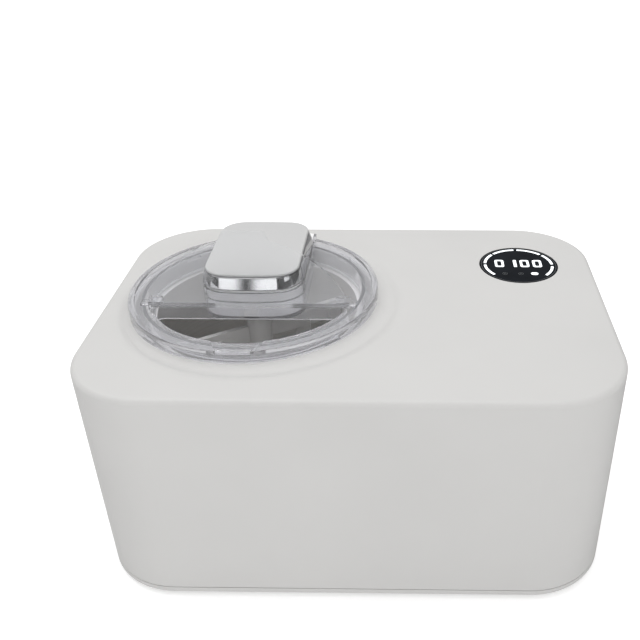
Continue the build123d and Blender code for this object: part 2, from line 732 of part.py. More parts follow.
with BuildPart() as display_board:
    cylinder(DISPLAY_X, DISPLAY_Y, DISPLAY_R - 5.5, TOP_Z - 10, TOP_Z - 8.4)
    block((DISPLAY_X - 19, DISPLAY_X + 19), (DISPLAY_Y - 4, DISPLAY_Y + 10), (TOP_Z - 8.4, TOP_Z - 2.2))
keep("display_board", display_board)

with BuildPart() as power_board:
    wall_y = HOUSING_D / 2 - WALL - 9
    block((10, 92), (wall_y, wall_y + 1.6), (22, 48))
    block((14, 34), (wall_y - 18, wall_y), (24, 44))
    block((40, 54), (wall_y - 12, wall_y), (26, 44))
    for x in (62, 76):
        with Locations(Location((x, wall_y - 8, 34), (90, 0, 0))):
            Cylinder(5.5, 16)
keep("power_board", power_board)

# ---------------------------------------------------------------- lid
POCKET_INNER = unit_outline(CASE_INSET - POCKET_GAP, TUB_BACK + CASE_INSET)
POCKET_OUTER = unit_outline(CASE_INSET - POCKET_GAP - POCKET_WALL, TUB_BACK + CASE_INSET)
COLLAR_INNER = unit_outline(CASE_INSET - POCKET_GAP)
COLLAR_OUTER = unit_outline(CASE_INSET - POCKET_GAP - POCKET_WALL)
POCKET_FLOOR_Z = TUB_FLOOR_Z - 0.3
COLLAR_TOP = BAND_Z - BAND_SHADOW_GAP
CHANNEL_HALF = UNIT_W / 2 - CASE_INSET + POCKET_GAP
FLAP_PLATE_Z = DECK_Z - FLAP_T
HINGE_Z = DECK_Z - FLAP_T / 2
HOLE_CHORD_Y = HINGE_Y + 2.1
with BuildPart() as clear_lid:
    lathe(
        [
            (0, DECK_Z - DECK_T),
            (LID_R - LID_WALL, DECK_Z - DECK_T),
            (LID_R - LID_WALL, SEAT_Z + 0.2),
            (LID_R, SEAT_Z + 0.2),
            (LID_R, RIM_Z - 1.6),
            (LID_R - 0.5, RIM_Z - 0.5),
            (LID_R - 1.6, RIM_Z),
            (LID_R - RIM_W + 1.2, RIM_Z),
            (LID_R - RIM_W + 0.3, RIM_Z - 0.5),
            (LID_R - RIM_W, DECK_Z),
            (0, DECK_Z),
        ],
        LID_AXIS,
    )
    # Locating rib that dips into the well ring and carries the gasket
    rib_top = DECK_Z - 2
    rib_corners = [(RIB_INNER_R, RIB_Z), (RIB_INNER_R, rib_top), (RIB_OUTER_R, rib_top), (RIB_OUTER_R, RIB_Z)]
    lathe(rib_corners, LID_AXIS)
    # Bayonet lugs inside the skirt
    with Locations((*LID_AXIS, SEAT_Z)):
        with PolarLocations(LUG_R, len(LUG_ANGLES), start_angle=LUG_ANGLES[0]):
            Box(2, 12, 4)
    # Filling chute, with a ledge for the flap
    prism(chord_segment(CHUTE_R + CHUTE_WALL, HOLE_CHORD_Y + CHUTE_WALL, 9), CHUTE_Z, DECK_Z - DECK_T + 1)
    # Pocket and collar of the motor unit
    prism(POCKET_OUTER, POCKET_FLOOR_Z - 2.5, DECK_Z)
    prism(COLLAR_OUTER, DECK_Z - 1, COLLAR_TOP)
    block(
        (LID_X - CHANNEL_HALF - POCKET_WALL, LID_X + CHANNEL_HALF + POCKET_WALL),
        (LID_Y + TAIL_START_Y, LID_Y + 86.5),
        (DECK_Z - 1, COLLAR_TOP),
    )
    # Hinge sockets and the stops that the open flap leans on
    lean = radians(FLAP_LEAN)
    stop_y = HINGE_Y + STOP_H * tan(lean) + FLAP_T / 2 / cos(lean) + 0.08
    for side in (-1, 1):
        socket = sorted((LID_X + side * SOCKET_INNER, LID_X + side * SOCKET_OUTER))
        block(socket, (HINGE_Y - 3.2, HINGE_Y + 4.4), (DECK_Z - 1, HINGE_Z + HINGE_PIN_R + 1.4))
        stop = sorted((LID_X + side * STOP_INNER, LID_X + side * SOCKET_INNER))
        block(stop, (stop_y, HINGE_Y + 4.4), (DECK_Z - 1, HINGE_Z + STOP_H))
    # Trim the collar to the lid's round edge
    with BuildSketch() as beyond_rim:
        with Locations(LID_AXIS):
            Circle(2 * LID_R)
            Circle(LID_R, mode=Mode.SUBTRACT)
    prism(beyond_rim.sketch, DECK_Z - 4, TOP_Z + 20, mode=Mode.SUBTRACT)
    # Hollows: chute, flap seat, finger notch, pocket, channel and shaft hole
    prism(chord_segment(CHUTE_R, HOLE_CHORD_Y, 6), CHUTE_Z - 1, DECK_Z + 1, mode=Mode.SUBTRACT)
    flap_seat = chord_segment(FLAP_R + FLAP_GAP, HOLE_CHORD_Y, FLAP_CORNER)
    prism(flap_seat, FLAP_PLATE_Z - 0.1, DECK_Z + 1, mode=Mode.SUBTRACT)
    notch_tip = LID_Y - NOTCH_R
    notch_cut = finger_notch(notch_tip, LID_Y - FLAP_R + 4, NOTCH_TIP_W, NOTCH_BASE_W)
    prism(notch_cut, FLAP_PLATE_Z - 0.1, RIM_Z + 1, mode=Mode.SUBTRACT)
    prism(POCKET_INNER, POCKET_FLOOR_Z, BAND_Z, mode=Mode.SUBTRACT)
    prism(COLLAR_INNER, DECK_Z, BAND_Z, mode=Mode.SUBTRACT)
    block(
        (LID_X - CHANNEL_HALF, LID_X + CHANNEL_HALF),
        (LID_Y + TAIL_START_Y, LID_Y + LID_R + 1),
        (DECK_Z, BAND_Z),
        mode=Mode.SUBTRACT,
    )
    with BuildSketch() as tail_gap:
        with Locations(LID_AXIS):
            Rectangle(2 * CHANNEL_HALF, LID_R + 2, align=(Align.CENTER, Align.MIN))
            Circle(TAIL_INNER_R - 0.6, mode=Mode.SUBTRACT)
    prism(tail_gap.sketch, SEAT_Z, DECK_Z + 1, mode=Mode.SUBTRACT)
    cylinder(*LID_AXIS, SHAFT_R + 1.5, 170, DECK_Z, mode=Mode.SUBTRACT)
    pin_hole = (STOP_INNER, PIN_REACH + 0.6)
    for side in (-1, 1):
        with Locations(Location((LID_X + side * sum(pin_hole) / 2, HINGE_Y, HINGE_Z), (0, 90, 0))):
            Cylinder(HINGE_PIN_R + 0.08, pin_hole[1] - pin_hole[0], mode=Mode.SUBTRACT)
        swing = sorted((LID_X + side * STOP_INNER, LID_X + side * SOCKET_INNER))
        block(swing, (HINGE_Y - 2.6, HINGE_Y + 1.8), (HINGE_Z - FLAP_T, DECK_Z + 1), mode=Mode.SUBTRACT)
keep("clear_lid", clear_lid)

with BuildPart() as lid_gasket:
    inner_r, outer_r = RIB_INNER_R - 0.3, RIB_OUTER_R + 0.2
    low_z = BOWL_RIM_Z + 0.4
    lip = ((inner_r + outer_r) / 2, low_z + 0.6)
    lathe([(inner_r, low_z), (inner_r, RIB_Z), (outer_r, RIB_Z), (outer_r, low_z), lip], LID_AXIS)
keep("lid_gasket", lid_gasket)

# ---------------------------------------------------------------- flap, standing open
with BuildPart() as pour_flap:
    # Drawn shut, then turned up about its hinge
    flap_plane = Plane(origin=(0, HINGE_Y, HINGE_Z)).rotated((-90 - FLAP_LEAN, 0, 0))
    with BuildSketch(flap_plane.offset(-FLAP_T / 2)) as flap_face:
        with Locations((0, -HINGE_Y)):
            add(chord_segment(FLAP_R, HINGE_Y + FLAP_T / 2, FLAP_CORNER))
            add(finger_notch(HINGE_Y - FLAP_REACH, LID_Y - FLAP_R + 4, FLAP_TAB_W, NOTCH_BASE_W - 2))
    extrude(flap_face.sketch, amount=FLAP_T)
    pin_inner = PIN_REACH - 11
    for side in (-1, 1):
        with Locations(Location((LID_X + side * (PIN_REACH + pin_inner) / 2, HINGE_Y, HINGE_Z), (0, 90, 0))):
            Cylinder(HINGE_PIN_R, PIN_REACH - pin_inner)
keep("pour_flap", pour_flap)

# ---------------------------------------------------------------- motor unit
TAIL_TOP = BAND_Z - 3
with BuildPart() as motor_case:
    prism(unit_outline(CASE_INSET, TUB_BACK + CASE_INSET), TUB_FLOOR_Z, BAND_Z)
    prism(unit_outline(CASE_INSET), DECK_Z + 0.3, BAND_Z)
    with BuildSketch() as tail_top:
        with Locations(LID_AXIS):
            Circle(LID_R - 0.5)
            Rectangle(2 * CHANNEL_HALF - 1, LID_R, align=(Align.CENTER, Align.MIN), mode=Mode.INTERSECT)
        with Locations((LID_X, LID_Y)):
            Rectangle(2 * LID_R, 52, align=(Align.CENTER, Align.MIN), mode=Mode.SUBTRACT)
    prism(tail_top.sketch, DECK_Z + 0.3, TAIL_TOP)
    with BuildSketch() as tail_foot:
        add(tail_top.sketch)
        with Locations(LID_AXIS):
            Circle(TAIL_INNER_R, mode=Mode.SUBTRACT)
    prism(tail_foot.sketch, SEAT_Z + 0.2, DECK_Z + 1)
    prism(unit_outline(CASE_INSET + 2, TUB_BACK + CASE_INSET), TUB_FLOOR_Z + 2.2, BAND_Z, mode=Mode.SUBTRACT)
    cylinder(*LID_AXIS, 8, TUB_FLOOR_Z, TUB_FLOOR_Z + 3, mode=Mode.SUBTRACT)
keep("motor_case", motor_case)

with BuildPart() as contact_pins:
    for spot in CONTACT_SPOTS:
        cylinder(*spot, 1.2, SEAT_Z - 0.4, SEAT_Z + 0.2)
keep("contact_pins", contact_pins)

with BuildPart() as chrome_band:
    # A moulding that leans in towards the cover, swept round the outline of the unit
    band_path = unit_outline().wire().moved(Location((0, 0, BAND_Z)))
    tangent = band_path % 0
    middle = Vector(LID_X, (UNIT_FRONT + UNIT_BACK) / 2, BAND_Z)
    outward = tangent.cross(Vector(0, 0, 1))
    if outward.dot(band_path @ 0 - middle) < 0:
        outward = -outward
    section_plane = Plane(origin=band_path @ 0, x_dir=outward, z_dir=outward.cross(Vector(0, 0, 1)))
    face_low = (0, BAND_LIP_R)
    face_middle = (BAND_BULGE - BAND_LEAN / 2, (BAND_LIP_R + BAND_FACE_TOP) / 2)
    face_high = (-BAND_LEAN, BAND_FACE_TOP)
    top_edge = (-BAND_LEAN - 1, BAND_H)
    with BuildSketch(section_plane) as band_section:
        with BuildLine():
            CenterArc((-BAND_LIP_R, BAND_LIP_R), BAND_LIP_R, 270, 90)
            ThreePointArc(face_low, face_middle, face_high)
            ThreePointArc(face_high, (-BAND_LEAN - 0.35, BAND_FACE_TOP + 0.7), top_edge)
            Polyline(top_edge, (-BAND_WALL, BAND_H), (-BAND_WALL, 0), (-BAND_LIP_R, 0))
        make_face()
    sweep(band_section.sketch, path=band_path)
keep("chrome_band", chrome_band)

with BuildPart() as top_cover:
    prism(unit_outline(COVER_INSET), BAND_TOP + COVER_GROOVE_H, BAND_TOP + 5)
    half_diagonal = hypot(UNIT_W, UNIT_BACK - UNIT_FRONT) / 2 - UNIT_CORNER * (sqrt(2) - 1)
    crown_r = (half_diagonal**2 + COVER_CROWN**2) / (2 * COVER_CROWN)
    crown_z = BAND_TOP + COVER_EDGE_H + COVER_CROWN
    with Locations((LID_X, (UNIT_FRONT + UNIT_BACK) / 2, crown_z - crown_r)):
        Sphere(crown_r, mode=Mode.INTERSECT)
    fillet(top_cover.faces().filter_by(GeomType.SPHERE).edges(), COVER_EDGE_R)
    # Neck that leaves a shadow groove above the band, and a tongue that drops inside it
    prism(unit_outline(COVER_INSET + COVER_GROOVE_D), BAND_TOP, BAND_TOP + COVER_GROOVE_H)
    prism(unit_outline(BAND_WALL + 0.1), BAND_TOP - 2, BAND_TOP)
    prism(unit_outline(BAND_WALL + 2.1), BAND_TOP - 2, BAND_TOP - 0.4, mode=Mode.SUBTRACT)
keep("top_cover", top_cover)

# Gear centres: the output is on the lid axis, the motor straight behind it
slow_distance = SLOW_MODULE * (OUTPUT_TEETH + COMPOUND_SMALL_TEETH) / 2
fast_distance = FAST_MODULE * (COMPOUND_BIG_TEETH + PINION_TEETH) / 2
along = (slow_distance**2 - fast_distance**2 + MOTOR_REACH**2) / (2 * MOTOR_REACH)
across = sqrt(slow_distance**2 - along**2)
MOTOR_AXIS = (LID_X, LID_Y + MOTOR_REACH)
COMPOUND_AXIS = (LID_X + across, LID_Y + along)
slow_line = degrees(atan2(along, across))
fast_line = degrees(atan2(MOTOR_REACH - along, -across))
PLATE_TOP = BAND_Z
FAST_GEAR_Z = GEAR_Z + SLOW_FACE + 0.4

with BuildPart() as gear_plate:
    prism(unit_outline(CASE_INSET + 2.1, TUB_BACK + CASE_INSET), PLATE_TOP - 2, PLATE_TOP)
    cylinder(*LID_AXIS, SHAFT_R + 0.06, PLATE_TOP - 3, PLATE_TOP + 1, mode=Mode.SUBTRACT)
    cylinder(*MOTOR_AXIS, 3, PLATE_TOP - 3, PLATE_TOP + 1, mode=Mode.SUBTRACT)
    cylinder(*COMPOUND_AXIS, 2, PLATE_TOP - 3, PLATE_TOP + 1, mode=Mode.SUBTRACT)
keep("gear_plate", gear_plate)

with BuildPart() as gear_axle:
    cylinder(*COMPOUND_AXIS, 2, PLATE_TOP - 2, FAST_GEAR_Z + FAST_FACE + 0.4)
keep("gear_axle", gear_axle)

with BuildPart() as drive_motor:
    cylinder(*MOTOR_AXIS, 17, TUB_FLOOR_Z + 2.4, PLATE_TOP - 2)
    fillet(drive_motor.edges(), 0.8)
    cylinder(*MOTOR_AXIS, 2.9, PLATE_TOP - 2.2, PLATE_TOP - 0.2)
keep("drive_motor", drive_motor)

with BuildPart() as output_bush:
    cylinder(*LID_AXIS, 7.9, TUB_FLOOR_Z, TUB_FLOOR_Z + 6)
    cylinder(*LID_AXIS, SHAFT_R + 0.06, TUB_FLOOR_Z, TUB_FLOOR_Z + 6, mode=Mode.SUBTRACT)
keep("output_bush", output_bush)

with BuildPart() as motor_pinion:
    pinion_turn = fast_line + 180 + 180 / PINION_TEETH
    prism(gear_face(PINION_TEETH, FAST_MODULE, MOTOR_AXIS, pinion_turn), FAST_GEAR_Z, FAST_GEAR_Z + FAST_FACE)
    cylinder(*MOTOR_AXIS, 1.5, PLATE_TOP - 0.1, FAST_GEAR_Z + FAST_FACE)
keep("motor_pinion", motor_pinion)

with BuildPart() as compound_gear:
    small_turn = slow_line + 180 + 180 / COMPOUND_SMALL_TEETH
    small_face = gear_face(COMPOUND_SMALL_TEETH, SLOW_MODULE, COMPOUND_AXIS, small_turn)
    prism(small_face, GEAR_Z, FAST_GEAR_Z)
    big_face = gear_face(COMPOUND_BIG_TEETH, FAST_MODULE, COMPOUND_AXIS, fast_line)
    prism(big_face, FAST_GEAR_Z, FAST_GEAR_Z + FAST_FACE)
    cylinder(*COMPOUND_AXIS, 2.06, GEAR_Z, FAST_GEAR_Z + FAST_FACE, mode=Mode.SUBTRACT)
keep("compound_gear", compound_gear)

with BuildPart() as output_gear:
    prism(gear_face(OUTPUT_TEETH, SLOW_MODULE, LID_AXIS, slow_line), GEAR_Z, GEAR_Z + SLOW_FACE)
    cylinder(*LID_AXIS, SHAFT_R, GEAR_Z, GEAR_Z + SLOW_FACE, mode=Mode.SUBTRACT)
keep("output_gear", output_gear)

with BuildPart() as output_shaft:
    cylinder(*LID_AXIS, SHAFT_R, TUB_FLOOR_Z - 1, GEAR_Z + SLOW_FACE)
    with BuildSketch(Plane.XY.offset(SHAFT_END_Z)):
        with Locations(LID_AXIS):
            RegularPolygon(HEX_FLATS / 2, 6, major_radius=False)
    extrude(amount=TUB_FLOOR_Z - 1 - SHAFT_END_Z)
    chamfer(output_shaft.faces().sort_by(Axis.Z)[0].edges(), 0.8)
keep("output_shaft", output_shaft)

with BuildPart() as unit_screws:
    for x, y in ((-27, 66), (27, 66), (-27, 2), (27, 2)):
        cylinder(LID_X + x, LID_Y + y - 4, 3, PLATE_TOP, PLATE_TOP + 1.8)
keep("unit_screws", unit_screws)

# ---------------------------------------------------------------- paddle
with BuildPart() as paddle:
    cylinder(*LID_AXIS, HUB_R, PADDLE_BOTTOM, POCKET_FLOOR_Z - 3)
    turned = Location((*LID_AXIS, 0), (0, 0, PADDLE_ANGLE))
    for half_turn in (0, 180):
        with Locations(turned * Location((0, 0, 0), (0, 0, half_turn))):
            # Top arm, wall blade, slanted middle blade and floor scraper
            with Locations((HUB_R - 1, 0, PADDLE_TOP - 14)):
                Box(PADDLE_R - HUB_R + 1, 4, 14, align=(Align.MIN, Align.CENTER, Align.MIN))
            with Locations(Location((PADDLE_R - 9, 0, PADDLE_BOTTOM + 12), (0, 0, 24))):
                Box(15, 3.2, PADDLE_TOP - PADDLE_BOTTOM - 14, align=(Align.CENTER, Align.CENTER, Align.MIN))
            with Locations(Location((PADDLE_R / 2, 0, PADDLE_BOTTOM + 6), (0, 0, -32))):
                Box(12, 3.2, PADDLE_TOP - PADDLE_BOTTOM - 12, align=(Align.CENTER, Align.CENTER, Align.MIN))
            with Locations((HUB_R - 1, 0, PADDLE_BOTTOM)):
                Box(PADDLE_R - HUB_R - 9, 4, 14, align=(Align.MIN, Align.CENTER, Align.MIN))
    with BuildSketch(Plane.XY.offset(SHAFT_END_Z - 2)):
        with Locations(LID_AXIS):
            RegularPolygon(HEX_FLATS / 2 + 0.15, 6, major_radius=False)
    extrude(amount=20, mode=Mode.SUBTRACT)
keep("paddle", paddle)

# ---------------------------------------------------------------- files
os.makedirs("parts", exist_ok=True)
for name, piece in pieces.items():
    export_step(piece, f"parts/{name}.step")
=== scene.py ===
import json
from math import cos, pi, radians, sin

import bmesh
import bpy
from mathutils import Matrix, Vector


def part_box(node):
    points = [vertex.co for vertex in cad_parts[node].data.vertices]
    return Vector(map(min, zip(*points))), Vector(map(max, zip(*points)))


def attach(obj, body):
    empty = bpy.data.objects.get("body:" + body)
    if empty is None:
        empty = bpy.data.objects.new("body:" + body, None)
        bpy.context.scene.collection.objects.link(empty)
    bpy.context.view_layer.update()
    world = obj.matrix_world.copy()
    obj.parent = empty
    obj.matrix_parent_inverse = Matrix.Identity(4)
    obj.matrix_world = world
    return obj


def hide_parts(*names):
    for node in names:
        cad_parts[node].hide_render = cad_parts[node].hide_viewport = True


# A studio view of a counter-top ice cream maker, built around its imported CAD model. Metres, Z up.

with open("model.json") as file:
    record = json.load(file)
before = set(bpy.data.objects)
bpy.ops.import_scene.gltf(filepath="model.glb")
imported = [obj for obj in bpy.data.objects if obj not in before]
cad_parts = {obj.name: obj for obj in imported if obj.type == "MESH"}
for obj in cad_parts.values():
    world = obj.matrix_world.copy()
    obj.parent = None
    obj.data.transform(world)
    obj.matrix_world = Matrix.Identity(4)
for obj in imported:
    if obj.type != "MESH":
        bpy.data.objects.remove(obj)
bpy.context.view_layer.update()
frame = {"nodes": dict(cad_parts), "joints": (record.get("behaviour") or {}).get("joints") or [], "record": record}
scene = bpy.context.scene
MM = 0.001
joints = {joint["name"]: joint for joint in frame["joints"]}


def middle(node):
    """The centre of a CAD node's box."""
    low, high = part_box(node)
    return (low + high) / 2


# ---------------------------------------------------------------- places read from the frame
LID_AXIS = Vector(joints["paddle_spin"]["pos_m"])
DISPLAY = middle("display_glass")
GLASS_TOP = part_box("display_glass")[1].z
GLASS_R = (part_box("display_glass")[1].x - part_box("display_glass")[0].x) / 2


# ---------------------------------------------------------------- node helpers
class Look:
    """A material with one Principled shader and short calls for the nodes around it."""

    def __init__(self, name):
        self.material = bpy.data.materials.new(name)
        self.material.use_nodes = True
        self.tree = self.material.node_tree
        self.shader = self.tree.nodes["Principled BSDF"]
        self.place = self.add("ShaderNodeTexCoord").outputs["Object"]

    def add(self, kind, **settings):
        """A new node with its settings."""
        node = self.tree.nodes.new(kind)
        for key, value in settings.items():
            setattr(node, key, value)
        return node

    def join(self, source, target):
        """A link between two sockets."""
        self.tree.links.new(source, target)

    def feed(self, target, value):
        """A socket's input, which is a link or a plain value."""
        if hasattr(value, "links"):
            self.join(value, target)
        else:
            target.default_value = value

    def set(self, **values):
        """Plain values on the shader's own sockets."""
        for key, value in values.items():
            self.shader.inputs[key.replace("_", " ")].default_value = value

    def noise_at(self, vector, scale, detail, roughness):
        """Noise looked up with any vector."""
        node = self.add("ShaderNodeTexNoise")
        node.inputs["Scale"].default_value = scale
        node.inputs["Detail"].default_value = detail
        node.inputs["Roughness"].default_value = roughness
        self.join(vector, node.inputs["Vector"])
        return node.outputs["Fac"]

    def noise(self, scale, detail=3.0, roughness=0.55, stretch=(1, 1, 1)):
        """Noise over the object's own space, with scale in features per metre."""
        mapping = self.add("ShaderNodeMapping")
        mapping.inputs["Scale"].default_value = stretch
        self.join(self.place, mapping.inputs["Vector"])
        return self.noise_at(mapping.outputs["Vector"], scale, detail, roughness)

    def remap(self, source, low, high, from_low=0.3, from_high=0.7):
        """A value stretched between two limits."""
        node = self.add("ShaderNodeMapRange")
        node.inputs["From Min"].default_value = from_low
        node.inputs["From Max"].default_value = from_high
        node.inputs["To Min"].default_value = low
        node.inputs["To Max"].default_value = high
        self.join(source, node.inputs["Value"])
        return node.outputs["Result"]

    def maths(self, operation, *values):
        """The result of one math node, where each value is a plain number or a socket."""
        node = self.add("ShaderNodeMath", operation=operation)
        for socket, value in zip(node.inputs, values):
            self.feed(socket, value)
        return node.outputs[0]

    def blend(self, factor, colour_a, colour_b):
        """A mix of two plain colours."""
        node = self.add("ShaderNodeMix", data_type="RGBA")
        self.join(factor, node.inputs["Factor"])
        node.inputs[6].default_value = (*colour_a, 1)
        node.inputs[7].default_value = (*colour_b, 1)
        return node.outputs[2]

    def bump(self, height, strength, distance, below=None):
        """A bump from a height, added to any bump below it."""
        node = self.add("ShaderNodeBump")
        node.inputs["Strength"].default_value = strength
        node.inputs["Distance"].default_value = distance
        self.join(height, node.inputs["Height"])
        if below is not None:
            self.join(below, node.inputs["Normal"])
        return node.outputs["Normal"]

    def roughness(self, source):
        """The shader's roughness."""
        self.join(source, self.shader.inputs["Roughness"])

    def colour(self, source):
        """The shader's base colour."""
        self.join(source, self.shader.inputs["Base Color"])

    def normal(self, source):
        """The shader's surface normal."""
        self.join(source, self.shader.inputs["Normal"])


def shade(colour, factor):
    """A colour made darker or lighter."""
    return tuple(channel * factor for channel in colour)


# ---------------------------------------------------------------- materials
PLASTIC_INDEX = 1.49
GLASS_INDEX = 1.52
FLAP_INDEX = 1.2
CLEAR_ROUGHNESS = 0.03
CHROME_GREY = (0.46, 0.46, 0.47, 1)
BRUSH_SCALE = 900
BRUSH_DEPTH = 0.35


def moulded_plastic(name, colour, rough=(0.38, 0.5), grain=0.04):
    """Injection-moulded plastic: fine spark texture, faint flow shading and uneven gloss."""
    look = Look(name)
    flow = look.noise(9, detail=2)
    look.colour(look.blend(look.remap(flow, 0, 1), colour, shade(colour, 0.965)))
    smear = look.noise(38, detail=4)
    look.roughness(look.remap(smear, *rough))
    spark = look.noise(2600, detail=2, roughness=0.6)
    waves = look.noise(26, detail=1)
    ripple = look.bump(waves, 0.05, 0.0006)
    look.normal(look.bump(spark, grain, 0.00012, below=ripple))
    look.set(IOR=PLASTIC_INDEX)
    return look.material


def clear_plastic(name, tint, haze, index):
    """Clear moulded plastic with slight flow lines and a little milky haze."""
    look = Look(name)
    look.set(Base_Color=(*tint, 1), Roughness=CLEAR_ROUGHNESS, IOR=index, Transmission_Weight=1 - haze)
    flow = look.noise(30, detail=1)
    look.normal(look.bump(flow, 0.012, 0.0004))
    return look.material


def ring_space(look, centre):
    """Object space as distance from an upright axis and height, so that noise in it makes rings."""
    shifted = look.add("ShaderNodeMapping")
    shifted.inputs["Location"].default_value = (-centre[0], -centre[1], 0)
    look.join(look.place, shifted.inputs["Vector"])
    parts = look.add("ShaderNodeSeparateXYZ")
    look.join(shifted.outputs["Vector"], parts.inputs["Vector"])
    y_squared = look.maths("MULTIPLY", parts.outputs["Y"], parts.outputs["Y"])
    squared = look.maths("MULTIPLY_ADD", parts.outputs["X"], parts.outputs["X"], y_squared)
    rings = look.add("ShaderNodeCombineXYZ")
    look.join(look.maths("POWER", squared, 0.5), rings.inputs["X"])
    look.join(parts.outputs["Z"], rings.inputs["Z"])
    return rings.outputs["Vector"]


def brushed_metal(name, colour, rough, rings=None):
    """Metal with fine brushing: rings about an upright axis, or straight lines along X."""
    look = Look(name)
    look.set(Metallic=1.0, Anisotropic=0.55)
    if rings is None:
        lines = look.noise(BRUSH_SCALE, stretch=(0.02, 1, 1))
    else:
        lines = look.noise_at(ring_space(look, rings), BRUSH_SCALE, detail=3, roughness=0.5)
    look.colour(look.blend(look.remap(lines, 0, 1), colour, shade(colour, 0.82)))
    look.roughness(look.remap(look.noise(60), rough * 0.85, rough * 1.2))
    look.normal(look.bump(lines, BRUSH_DEPTH, 0.00008))
    return look.material


def polished_chrome(name):
    """Bright plating with faint haze and polishing marks."""
    look = Look(name)
    look.set(Base_Color=CHROME_GREY, Metallic=1.0)
    look.roughness(look.remap(look.noise(240, detail=4), 0.04, 0.1))
    look.normal(look.bump(look.noise(70, detail=2), 0.008, 0.0004))
    return look.material


def rubber(name, colour):
    """Matt rubber with a fine grain and a dusty bloom."""
    look = Look(name)
    dusty = tuple(channel + 0.03 for channel in colour)
    look.colour(look.blend(look.remap(look.noise(120, detail=5), 0, 1), colour, dusty))
    look.roughness(look.remap(look.noise(300), 0.62, 0.8))
    look.normal(look.bump(look.noise(4200, detail=2), 0.12, 0.00012))
    return look.material


def rigid_foam(name):
    """Cream foam with open cells on its skin."""
    look = Look(name)
    cells = look.add("ShaderNodeTexVoronoi")
    cells.inputs["Scale"].default_value = 420
    look.join(look.place, cells.inputs["Vector"])
    look.colour(look.blend(cells.outputs["Distance"], (0.86, 0.78, 0.56), (0.7, 0.6, 0.4)))
    look.set(Roughness=0.9)
    look.normal(look.bump(cells.outputs["Distance"], 0.6, 0.0008))
    return look.material


def enamel(name, colour):
    """Thick paint with orange peel."""
    look = Look(name)
    look.colour(look.blend(look.remap(look.noise(30), 0, 1), colour, shade(colour, 1.5)))
    look.roughness(look.remap(look.noise(90), 0.28, 0.42))
    look.normal(look.bump(look.noise(520, detail=2), 0.12, 0.0003))
    look.set(Coat_Weight=0.4, Coat_Roughness=0.15)
    return look.material


def board(name):
    """Circuit board: solder mask with a grid of tracks under it."""
    look = Look(name)
    bricks = look.add("ShaderNodeTexBrick")
    bricks.inputs["Scale"].default_value = 260
    bricks.inputs["Color1"].default_value = (0.02, 0.16, 0.07, 1)
    bricks.inputs["Color2"].default_value = (0.02, 0.2, 0.09, 1)
    bricks.inputs["Mortar"].default_value = (0.05, 0.32, 0.14, 1)
    look.join(look.place, bricks.inputs["Vector"])
    look.colour(bricks.outputs["Color"])
    look.set(Roughness=0.35)
    look.normal(look.bump(bricks.outputs["Fac"], 0.3, 0.0001))
    return look.material


def touch_glass(name):
    """Black printed glass with faint finger smears."""
    look = Look(name)
    smears = look.noise(55, detail=5, roughness=0.7)
    look.colour(look.blend(look.remap(smears, 0, 1), (0.006, 0.007, 0.009), (0.011, 0.013, 0.017)))
    look.roughness(look.remap(smears, 0.07, 0.2))
    look.normal(look.bump(look.noise(180, detail=2), 0.02, 0.0002))
    look.set(IOR=GLASS_INDEX, Specular_IOR_Level=0.02)
    return look.material


def lamp(name, colour, strength):
    """A lit segment of the display, with slightly uneven light."""
    look = Look(name)
    look.colour(look.blend(look.remap(look.noise(700), 0, 1), colour, shade(colour, 0.9)))
    look.set(Roughness=0.4, Emission_Strength=strength, Emission_Color=(*colour, 1))
    return look.material


# The slot ring_white is a mid grey, darker than the white ring: painted shade, because the ring is seen only
# through the clear lid.
MATERIALS = {
    "housing_white": moulded_plastic("housing_white", (0.595, 0.59, 0.58)),
    "ring_white": moulded_plastic("ring_white", (0.45, 0.45, 0.455), rough=(0.25, 0.38), grain=0.01),
    "foot_rubber": rubber("foot_rubber", (0.03, 0.03, 0.032)),
    "screw_steel": brushed_metal("screw_steel", (0.6, 0.6, 0.6), 0.3),
    "pad_brass": brushed_metal("pad_brass", (0.83, 0.63, 0.3), 0.25),
    "well_aluminium": brushed_metal("well_aluminium", (0.75, 0.76, 0.77), 0.35, rings=LID_AXIS),
    "bowl_aluminium": brushed_metal("bowl_aluminium", (0.95, 0.94, 0.925), 0.48, rings=LID_AXIS),
    "copper_tube": brushed_metal("copper_tube", (0.8, 0.42, 0.27), 0.3),
    "foam_cream": rigid_foam("foam_cream"),
    "sensor_black": moulded_plastic("sensor_black", (0.02, 0.02, 0.022), rough=(0.45, 0.6)),
    "compressor_black": enamel("compressor_black", (0.012, 0.012, 0.013)),
    "galvanised_steel": brushed_metal("galvanised_steel", (0.6, 0.61, 0.62), 0.4),
    "fin_aluminium": brushed_metal("fin_aluminium", (0.8, 0.81, 0.82), 0.3),
    "glass_black": touch_glass("glass_black"),
    "board_green": board("board_green"),
    "lid_clear": clear_plastic("lid_clear", (0.925, 0.925, 0.948), haze=0.08, index=PLASTIC_INDEX),
    "gasket_silicone": moulded_plastic("gasket_silicone", (0.7, 0.71, 0.73), rough=(0.4, 0.55)),
    "unit_white": moulded_plastic("unit_white", (0.54, 0.54, 0.54), rough=(0.3, 0.33), grain=0.004),
    # The slot case_grey is nearly white, lighter than the real case: painted light, so that it looks lit where it
    # is seen through the clear collar.
    "case_grey": moulded_plastic("case_grey", (0.9, 0.9, 0.9)),
    "band_chrome": polished_chrome("band_chrome"),
    "gear_nylon": moulded_plastic("gear_nylon", (0.8, 0.79, 0.74)),
    "paddle_grey": moulded_plastic("paddle_grey", (0.55, 0.545, 0.54), rough=(0.3, 0.45)),
    "display_light": lamp("display_light", (0.93, 0.97, 1.0), 0.75),
}

slot_of = {entry["node"]: entry["material_slot"] for entry in frame["record"]["subparts"]}
body_of = {node: body for body, nodes in frame["record"]["behaviour"]["bodies"].items() for node in nodes}
for node, piece in frame["nodes"].items():
    piece.data.materials.clear()
    piece.data.materials.append(MATERIALS[slot_of[node]])


